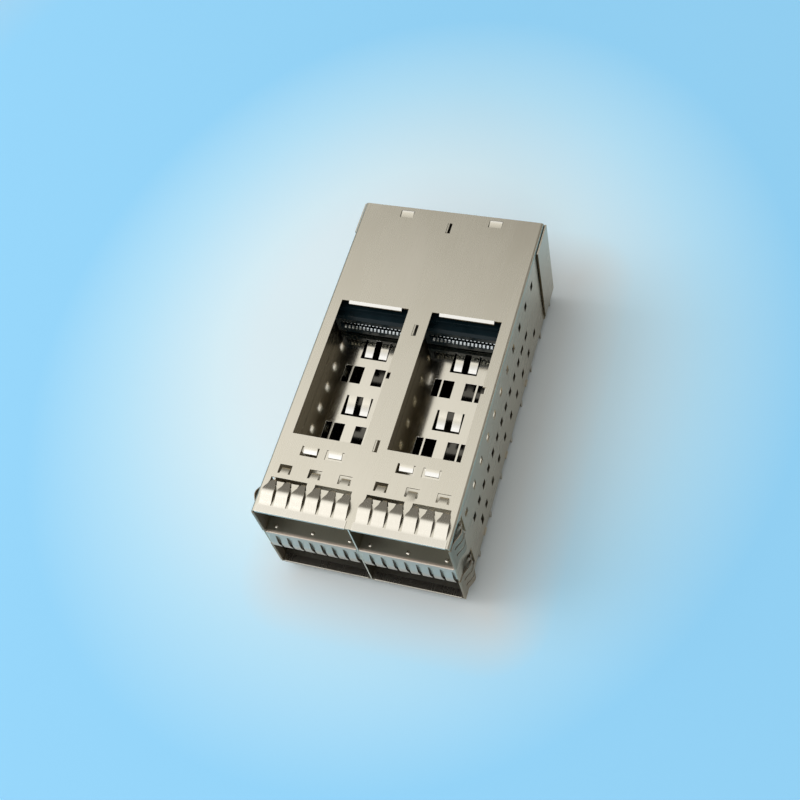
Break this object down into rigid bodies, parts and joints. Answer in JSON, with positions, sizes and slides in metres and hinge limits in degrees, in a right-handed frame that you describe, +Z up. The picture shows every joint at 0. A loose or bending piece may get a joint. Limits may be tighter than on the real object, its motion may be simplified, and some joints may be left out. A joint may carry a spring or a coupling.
{
  "type": "stacked network module cage",
  "caption": "Stacked network module cage of folded sheet metal with open heat-sink windows in the top, spring fingers round the port mouths, and receptacles at the rear.",
  "frame": {"origin": "on the board seating plane, at the middle of the cage's footprint", "axes": "+X across the columns to the right seen from the ports, +Y from the port openings to the rear, +Z up from the board"},
  "size_m": [0.0404, 0.0745, 0.0265],
  "materials": {
    "cage_sheet": "satin nickel-silver sheet",
    "spring_strip": "bright plated spring strip",
    "connector_plastic": "moulded black plastic",
    "wafer_plastic": "moulded black plastic",
    "contact_metal": "bright plated contact",
    "tail_metal": "tin-plated tail"
  },
  "bodies": {
    "root": {"cage_shell": "cage_sheet", "cage_floor": "cage_sheet", "center_divider": "cage_sheet", "rear_cover": "cage_sheet", "separator_left": "cage_sheet", "separator_right": "cage_sheet", "emi_spring_top_left": "spring_strip", "emi_spring_top_right": "spring_strip", "emi_spring_bottom_left": "spring_strip", "emi_spring_bottom_right": "spring_strip", "emi_spring_separator_left": "spring_strip", "emi_spring_separator_right": "spring_strip", "emi_spring_left_side_lower": "spring_strip", "emi_spring_left_side_upper": "spring_strip", "emi_spring_right_side_lower": "spring_strip", "emi_spring_right_side_upper": "spring_strip", "connector_housing_left": "connector_plastic", "connector_housing_right": "connector_plastic", "contact_wafers_left": "wafer_plastic", "contact_wafers_right": "wafer_plastic", "lower_contacts_left": "contact_metal", "upper_contacts_left": "contact_metal", "lower_contacts_right": "contact_metal", "upper_contacts_right": "contact_metal", "press_fit_tails_left": "tail_metal", "press_fit_tails_right": "tail_metal"}
  },
  "joints": []
}
